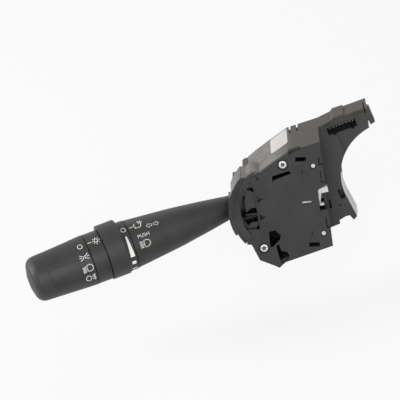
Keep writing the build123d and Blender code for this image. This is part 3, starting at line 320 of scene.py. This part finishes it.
# Each stroke is a list of points in mm: x along the lever towards the housing, y upwards
symbolStrokes = {
    "offRing": [arcPoints(0, 0, 1.5, 0, 360, 25)],
    "parkingLamp": [arcPoints(-1.5, 0, 1.0, -75, 75, 9), arcPoints(1.5, 0, 1.0, 105, 255, 9),
                    [(-1.4, 0.9), (-2.8, 1.9)], [(-1.7, 0.1), (-3.2, 0.3)], [(-1.4, -0.8), (-2.8, -1.7)],
                    [(1.4, 0.9), (2.8, 1.9)], [(1.7, 0.1), (3.2, 0.3)], [(1.4, -0.8), (2.8, -1.7)]],
    "lowBeam": [arcPoints(1.0, 0, 2.1, -90, 90, 14) + [(-0.3, 2.0), (-0.8, 0.9), (-0.8, -0.9), (-0.3, -2.0),
                                                      (1.0, -2.1)],
                [(-1.5, 1.5), (-3.7, 0.8)], [(-1.5, 0.7), (-3.7, 0.0)], [(-1.5, -0.1), (-3.7, -0.8)],
                [(-1.5, -0.9), (-3.7, -1.6)], [(-1.5, -1.7), (-3.7, -2.4)]],
    "frontFog": [arcPoints(-1.6, 0, 1.9, 90, 270, 14) + [(-0.8, -1.7), (-0.3, -0.9), (-0.3, 0.9), (-0.8, 1.7),
                                                        (-1.6, 1.9)],
                 [(0.6, 1.5), (3.9, 1.1)], [(0.6, 0.2), (3.9, -0.2)], [(0.6, -1.1), (3.9, -1.5)],
                 [(2.4, 2.4), (2.0, 1.5), (2.4, 0.7), (2.0, -0.1), (2.4, -0.8), (2.0, -1.6), (2.4, -2.3)]],
    "lamp": [arcPoints(0, 0, 1.15, 0, 360, 19)] + [
        [(1.7 * cos(radians(a)), 1.7 * sin(radians(a))), (2.6 * cos(radians(a)), 2.6 * sin(radians(a)))]
        for a in range(0, 360, 45)],
    "pointer": [[(-1.3, 0), (1.3, 0)]],
    "dimmerArc": [arcPoints(0, 0, 2.3, 130, 232, 9), arcPoints(0, 0, 2.3, 250, 375, 10),
                  [(-1.4, -1.8), (-2.0, -2.6)], [(2.2, 0.6), (3.0, 0.9)]],
    "smallLamp": [arcPoints(0, 0, 0.8, 0, 360, 13)] + [
        [(1.25 * cos(radians(a)), 1.25 * sin(radians(a))), (1.9 * cos(radians(a)), 1.9 * sin(radians(a)))]
        for a in range(0, 360, 60)],
    "arrowLeft": [[(-2.0, 0), (-0.4, 1.7), (-0.4, 0.8), (1.4, 0.8), (1.4, -0.8), (-0.4, -0.8), (-0.4, -1.7),
                   (-2.0, 0)]],
    "arrowRight": [[(2.0, 0), (0.4, 1.7), (0.4, 0.8), (-1.4, 0.8), (-1.4, -0.8), (0.4, -0.8), (0.4, -1.7),
                    (2.0, 0)]],
    "highBeam": [arcPoints(0.9, 0, 2.3, -90, 90, 14) + [(-0.6, 2.3), (-0.9, 1.0), (-0.9, -1.0), (-0.6, -2.3),
                                                       (0.9, -2.3)],
                 [(-1.6, 1.9), (-3.8, 1.9)], [(-1.6, 0.95), (-3.8, 0.95)], [(-1.6, 0.0), (-3.8, 0.0)],
                 [(-1.6, -0.95), (-3.8, -0.95)], [(-1.6, -1.9), (-3.8, -1.9)]],
}

marks = {
    # name: symbol, carrying node, body, distance along the lever, angle above the driver's side, line width
    "markKnobOff": ("offRing", "end_knob", "light_knob", 133.8, 56.3, 0.52),
    "markKnobParking": ("parkingLamp", "end_knob", "light_knob", 133.8, 28.9, 0.52),
    "markKnobLowBeam": ("lowBeam", "end_knob", "light_knob", 133.6, 2.8, 0.52),
    "markKnobFog": ("frontFog", "end_knob", "light_knob", 133.4, -22.6, 0.52),
    "markCollarLamp": ("lamp", "fixed_collar", "lever", 122.8, 57.4, 0.52),
    "markCollarPointer": ("pointer", "fixed_collar", "lever", 127.2, 57.3, 0.54),
    "markRingOff": ("offRing", "dimmer_ring", "dimmer", 104.3, 58.0, 0.52),
    "markStalkPointer": ("pointer", "stalk_shell", "lever", 98.9, 58.4, 0.54),
    "markDimmerArc": ("dimmerArc", "stalk_shell", "lever", 94.5, 60.4, 0.52),
    "markDimmerLamp": ("smallLamp", "stalk_shell", "lever", 92.6, 68.1, 0.46),
    "markArrowLeft": ("arrowLeft", "stalk_shell", "lever", 87.4, 49.3, 0.46),
    "markArrowRight": ("arrowRight", "stalk_shell", "lever", 83.2, 48.9, 0.46),
    "markHighBeam": ("highBeam", "stalk_shell", "lever", 93.9, 9.0, 0.54),
}
solidMarks = {
    # name: carrying node, body, distance along the lever, angle from and to, half width at each end
    "markRingWedge": ("dimmer_ring", "dimmer", 104.4, 39.7, -9.4, 0.45, 1.5),
    "markRingDot": ("dimmer_ring", "dimmer", 104.5, -21.4, -30.4, 1.3, 1.3),
    "markRingDash": ("dimmer_ring", "dimmer", 104.5, -47.5, -52.5, 1.5, 1.5),
}
printWord = {
    "text": "PUSH", "height": 2.4, "size": 3.24, "spacing": 1.08, "thickness": 0.05,
    "along": 97.5, "angle": 30.4,
}
inkSizes = {  # mm
    "lift": 0.035, "flatness": 0.12, "longest": 0.7, "wrapRadius": 15.5, "bandRadius": 15.7,
    "leverReach": 40.0, "leverRadius": 15.0,
}


def surfaceTree(node):
    shape = bmesh.new()
    shape.from_mesh(nodes[node].data)
    tree = BVHTree.FromBMesh(shape)
    shape.free()
    return tree


markedNodes = ("end_knob", "fixed_collar", "dimmer_ring", "stalk_shell")
surfaceTrees = {name: surfaceTree(name) for name in markedNodes}


# The point on the lever's skin at a distance along it and an angle above the driver's side
def layOnLever(tree, along, angle, lift):
    outward = (leverUp * sin(angle) - leverAway * cos(angle)).normalized()
    axisPoint = pivot + leverTip * along * mm
    hit = tree.ray_cast(axisPoint + outward * inkSizes["leverReach"] * mm, -outward)[0]
    if hit is None:
        hit = axisPoint + outward * inkSizes["leverRadius"] * mm
    return hit + outward * lift * mm


def finishObject(name, shape, material, body):
    mesh = bpy.data.meshes.new(name)
    shape.to_mesh(mesh)
    shape.free()
    piece = bpy.data.objects.new(name, mesh)
    scene.collection.objects.link(piece)
    mesh.materials.append(materials[material])
    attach(piece, body)
    return piece


# Flat x and y in mm become distance along the lever and height round it; z stands off its skin
def wrapShape(shape, node, along, angle):
    tree = surfaceTrees[node]
    for vertex in shape.verts:
        x, y, z = vertex.co
        turn = radians(angle) + y / inkSizes["wrapRadius"]
        vertex.co = layOnLever(tree, along - x, turn, inkSizes["lift"] + z)
    bmesh.ops.recalc_face_normals(shape, faces=shape.faces)


def strokeShape(strokes, width):
    shape = bmesh.new()
    for points in strokes:
        curve = bpy.data.curves.new("stroke", "CURVE")
        curve.dimensions = "3D"
        curve.bevel_depth = width / 2
        curve.bevel_resolution = 0
        curve.use_fill_caps = True
        spline = curve.splines.new("POLY")
        spline.points.add(len(points) - 1)
        for place, (x, y) in zip(spline.points, points):
            place.co = (x, y, 0, 1)
        pen = bpy.data.objects.new("stroke", curve)
        drawn = bpy.data.meshes.new_from_object(pen)
        shape.from_mesh(drawn)
        bpy.data.objects.remove(pen)
        bpy.data.curves.remove(curve)
        bpy.data.meshes.remove(drawn)
    long = [edge for edge in shape.edges if edge.calc_length() > inkSizes["longest"]]
    bmesh.ops.subdivide_edges(shape, edges=long, cuts=2, use_grid_fill=True)
    for vertex in shape.verts:
        vertex.co.z *= inkSizes["flatness"]
    return shape


for name, (symbol, node, body, along, angle, width) in marks.items():
    shape = strokeShape(symbolStrokes[symbol], width)
    wrapShape(shape, node, along, angle)
    finishObject(name, shape, "markInk", body)

for name, (node, body, along, start, end, narrow, wide) in solidMarks.items():
    shape = bmesh.new()
    bmesh.ops.create_grid(shape, x_segments=4, y_segments=16, size=0.5)
    middle = (start + end) / 2
    length = radians(start - end) * inkSizes["bandRadius"]
    for vertex in shape.verts:
        down = 0.5 - vertex.co.y
        halfWidth = narrow + (wide - narrow) * down
        vertex.co = (vertex.co.x * 2 * halfWidth, (0.5 - down) * length, 0)
    wrapShape(shape, node, along, middle)
    finishObject(name, shape, "markInk", body)

letters = bpy.data.curves.new("printWord", "FONT")
letters.body = printWord["text"]
letters.size = printWord["size"]
letters.space_character = printWord["spacing"]
lettering = bpy.data.objects.new("printWord", letters)
drawn = bpy.data.meshes.new_from_object(lettering)
shape = bmesh.new()
shape.from_mesh(drawn)
bpy.data.objects.remove(lettering)
bmesh.ops.triangulate(shape, faces=shape.faces)
bmesh.ops.subdivide_edges(shape, edges=shape.edges, cuts=2, use_grid_fill=True)
for vertex in shape.verts:
    vertex.co.y -= printWord["height"] / 2
    vertex.co.z += printWord["thickness"]
wrapShape(shape, "stalk_shell", printWord["along"], printWord["angle"])
finishObject("markPush", shape, "markInk", "lever")
print("marks", len(marks) + len(solidMarks) + 1)


# Screws with a six-lobe drive and a thread, in mm; the head's rounding and one turn of thread are
# given as steps: a share of the head's radius and height, and a radius with its place along the turn
screwSizes = {
    "headRadius": 2.85, "headHeight": 1.7, "driveRadius": 1.35, "driveWaist": 0.95, "driveDepth": 1.1,
    "threadRadius": 1.5, "threadRoot": 1.12, "pitch": 1.1, "length": 12.0, "lobes": 6, "segments": 48,
    "headSteps": ((0.0, 1.0), (0.62, 1.0), (0.86, 0.86), (0.98, 0.5), (1.0, 0.2), (1.0, 0.0)),
    "threadStart": 0.4, "threadSteps": (("threadRoot", 0.15), ("threadRoot", 0.5), ("threadRadius", 0.8)),
    "tipStart": 0.1, "tipLength": 1.0, "merging": 0.001, "flatTop": 0.99, "middle": 0.1,
}


def screwProfile(size):
    profile = [(size["headRadius"] * wide, -size["headHeight"] * high) for wide, high in size["headSteps"]]
    profile.append((size["threadRadius"], 0.0))
    for turn in range(int(size["length"] / size["pitch"])):
        base = size["threadStart"] + turn * size["pitch"]
        profile += [(size[radius], base + along) for radius, along in size["threadSteps"]]
    tip = size["length"]
    return profile + [(size["threadRoot"], tip + size["tipStart"]), (0.0, tip + size["tipLength"])]


# A pan head screw along +Y, with its head's underside at seatY
def makeScrew(centre, seatY):
    size = screwSizes
    shape = bmesh.new()
    points = [shape.verts.new((radius, along, 0)) for radius, along in screwProfile(size)]
    edges = [shape.edges.new(pair) for pair in zip(points, points[1:])]
    bmesh.ops.spin(shape, geom=points + edges, cent=(0, 0, 0), axis=(0, 1, 0), angle=2 * pi,
                   steps=size["segments"], use_merge=True)
    bmesh.ops.remove_doubles(shape, verts=shape.verts, dist=size["merging"])
    topPlace = -size["headHeight"] * size["flatTop"]
    top = [face for face in shape.faces if face.calc_center_median().y < topPlace]
    for vertex in {v for face in top for v in face.verts}:
        reach = Vector((vertex.co.x, vertex.co.z)).length
        if reach > size["middle"]:
            turn = atan2(vertex.co.z, vertex.co.x)
            lobe = 0.5 + 0.5 * cos(size["lobes"] * turn)
            wave = size["driveWaist"] + (size["driveRadius"] - size["driveWaist"]) * lobe
            vertex.co.x *= wave / reach
            vertex.co.z *= wave / reach
    rim = bmesh.ops.extrude_face_region(shape, geom=top)
    sunk = [v for v in rim["geom"] if isinstance(v, bmesh.types.BMVert)]
    bmesh.ops.delete(shape, geom=top, context="FACES")
    bmesh.ops.translate(shape, verts=sunk, vec=(0, size["driveDepth"], 0))
    for face in {f for v in sunk for f in v.link_faces}:
        face.material_index = 1  # painted shade inside the drive
    bmesh.ops.recalc_face_normals(shape, faces=shape.faces)
    for face in shape.faces:
        face.smooth = True
    bmesh.ops.scale(shape, verts=shape.verts, vec=(mm, mm, mm))
    bmesh.ops.translate(shape, verts=shape.verts, vec=(centre.x, seatY, centre.z))
    return shape


screwLow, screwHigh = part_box("plate_screws")
inset = screwSizes["headRadius"] * mm
screwSeat = screwLow.y + screwSizes["headHeight"] * mm
upperScrew = Vector((screwHigh.x - inset, 0, screwHigh.z - inset))
lowerScrew = Vector((screwLow.x + inset, 0, screwLow.z + inset))
bothScrews = bmesh.new()
for centre in (upperScrew, lowerScrew):
    single = makeScrew(centre, screwSeat)
    singleMesh = bpy.data.meshes.new("single")
    single.to_mesh(singleMesh)
    single.free()
    bothScrews.from_mesh(singleMesh)
    bpy.data.meshes.remove(singleMesh)
screws = finishObject("plateScrews", bothScrews, "zincPlate", "housing")
screws.data.materials.append(materials["driveShade"])
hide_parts("plate_screws")
print("screws done")


# Painted shade of pairs of tiny hole mouths in the plate: dark discs just clear of its face
holeShadeDiscs = {  # mm, places as x and z
    "places": ((-18.9, 16.8), (-19.1, 15.0), (-17.5, -25.7), (-17.7, -27.4)),
    "radius": 0.42, "lift": 0.03, "segments": 16,
}


def makeHoleShadeDiscs():
    shape = bmesh.new()
    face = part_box("front_plate")[0].y - holeShadeDiscs["lift"] * mm
    for x, z in holeShadeDiscs["places"]:
        disc = bmesh.ops.create_circle(shape, cap_ends=True, segments=holeShadeDiscs["segments"],
                                       radius=holeShadeDiscs["radius"] * mm)["verts"]
        bmesh.ops.rotate(shape, verts=disc, cent=(0, 0, 0), matrix=Matrix.Rotation(pi / 2, 3, "X"))
        bmesh.ops.translate(shape, verts=disc, vec=(x * mm, face, z * mm))
    return shape


finishObject("plateHoleShadeDiscs", makeHoleShadeDiscs(), "holeShade", "housing")
print("tiny holes", len(holeShadeDiscs["places"]))


# Bare label with rounded corners, turned to the slope of the one it stands for
labelSizes = {"thickness": 0.2, "corner": 1.8, "segments": 6}  # mm


def makeLabel():
    flat = max(nodes["label"].data.polygons, key=lambda face: face.area * face.normal.z)
    low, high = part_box("label")
    slope = atan2(flat.normal.z, flat.normal.x) - pi / 2
    length = (high.x - low.x - labelSizes["thickness"] * mm * abs(sin(slope))) / cos(slope)
    shape = bmesh.new()
    bmesh.ops.create_cube(shape, size=1.0)
    bmesh.ops.scale(shape, verts=shape.verts, vec=(length, high.y - low.y, labelSizes["thickness"] * mm))
    corners = [edge for edge in shape.edges if abs(edge.verts[0].co.z - edge.verts[1].co.z) > 1e-6]
    bmesh.ops.bevel(shape, geom=corners, affect="EDGES", offset=labelSizes["corner"] * mm,
                    segments=labelSizes["segments"], profile=0.5, material=-1)
    bmesh.ops.rotate(shape, verts=shape.verts, cent=(0, 0, 0), matrix=Matrix.Rotation(-slope, 3, "Y"))
    bmesh.ops.translate(shape, verts=shape.verts, vec=(low + high) / 2)
    return shape


bareLabel = finishObject("bareLabel", makeLabel(), "labelFilm", "housing")
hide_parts("label")
print("label done")


# Studio in metres; the floor lies low enough for the lever to clear it when it is pushed down
studio = {
    "floorDrop": 0.034, "floorSize": 8.0, "floorGrey": 0.86, "floorGlow": 0.80, "worldStrength": 0.42,
    "lampAim": (-0.07, -0.02, 0.0),
}


# 1 where the camera looks straight, by a reflection or through something, and 0 for other light
def seenRays(tree):
    rays = addNode(tree, "ShaderNodeLightPath").outputs
    seen = mathNode(tree, "ADD", rays["Is Camera Ray"], rays["Is Glossy Ray"])
    return mathNode(tree, "ADD", seen, rays["Is Transmission Ray"], use_clamp=True)


def makeFloor():
    shape = bmesh.new()
    bmesh.ops.create_grid(shape, x_segments=1, y_segments=1, size=studio["floorSize"] / 2)
    bmesh.ops.translate(shape, verts=shape.verts, vec=(0, 0, cadBox[0][2] - studio["floorDrop"]))
    mesh = bpy.data.meshes.new("studioFloor")
    shape.to_mesh(mesh)
    shape.free()
    floor = bpy.data.objects.new("studioFloor", mesh)
    scene.collection.objects.link(floor)
    material = bpy.data.materials.new("paleFloor")
    tree = newTree(material)
    paint = addNode(tree, "ShaderNodeBsdfDiffuse", {"Color": grey(studio["floorGrey"])})
    glow = addNode(tree, "ShaderNodeEmission", {"Color": grey(1.0), "Strength": 1.0})
    share = mathNode(tree, "MULTIPLY", seenRays(tree), studio["floorGlow"])
    blend = addNode(tree, "ShaderNodeMixShader", {0: share, 1: paint.outputs[0], 2: glow.outputs[0]})
    addNode(tree, "ShaderNodeOutputMaterial", {"Surface": blend.outputs[0]})
    mesh.materials.append(material)


def makeWorld():
    world = bpy.data.worlds.new("studioWorld")
    scene.world = world
    tree = newTree(world)
    soft = addNode(tree, "ShaderNodeBackground", {"Color": grey(1.0), "Strength": studio["worldStrength"]})
    white = addNode(tree, "ShaderNodeBackground", {"Color": grey(1.0), "Strength": 1.0})
    mix = addNode(tree, "ShaderNodeMixShader", {0: seenRays(tree), 1: soft.outputs[0], 2: white.outputs[0]})
    addNode(tree, "ShaderNodeOutputWorld", {"Surface": mix.outputs[0]})


lamps = {
    # name: place, watts, width
    "keyLamp": ((-2.2, 0.0, 0.90), 44.0, 1.2),
    "fillLamp": ((0.0, -2.2, 0.60), 28.0, 1.6),
    "rimLamp": ((0.2, 1.6, 1.4), 4.0, 1.0),
}


def makeLamp(name, place, watts, width):
    light = bpy.data.lights.new(name, "AREA")
    light.shape = "DISK"
    light.size = width
    light.energy = watts
    lamp = bpy.data.objects.new(name, light)
    lamp.location = place
    facing = Vector(studio["lampAim"]) - Vector(place)
    lamp.rotation_euler = facing.to_track_quat("-Z", "Y").to_euler()
    scene.collection.objects.link(lamp)


makeFloor()
makeWorld()
for name, (place, watts, width) in lamps.items():
    makeLamp(name, place, watts, width)

view = {  # fitted to the photograph: places in mm, the axes of the picture, and the focal length in pixels
    "aim": (-86.836, -22.199, -3.782), "distance": 1677.4,
    "right": (0.99075, 0.00248, -0.13565), "up": (0.12645, 0.34553, 0.92985),
    "back": (0.04918, -0.93840, 0.34202),
    "focalPixels": 2600.0, "pixels": 400, "sensor": 36.0, "farthest": 50.0,
}
cameraData = bpy.data.cameras.new("photoCamera")
cameraData.sensor_width = view["sensor"]
cameraData.lens = view["focalPixels"] / view["pixels"] * view["sensor"]
cameraData.clip_end = view["farthest"]
camera = bpy.data.objects.new("photoCamera", cameraData)
scene.collection.objects.link(camera)
turned = Matrix((view["right"], view["up"], view["back"])).transposed().to_4x4()
turned.translation = (Vector(view["aim"]) + Vector(view["back"]) * view["distance"]) * mm
camera.matrix_world = turned
scene.camera = camera
scene.view_settings.view_transform = "Standard"
print("studio ready")
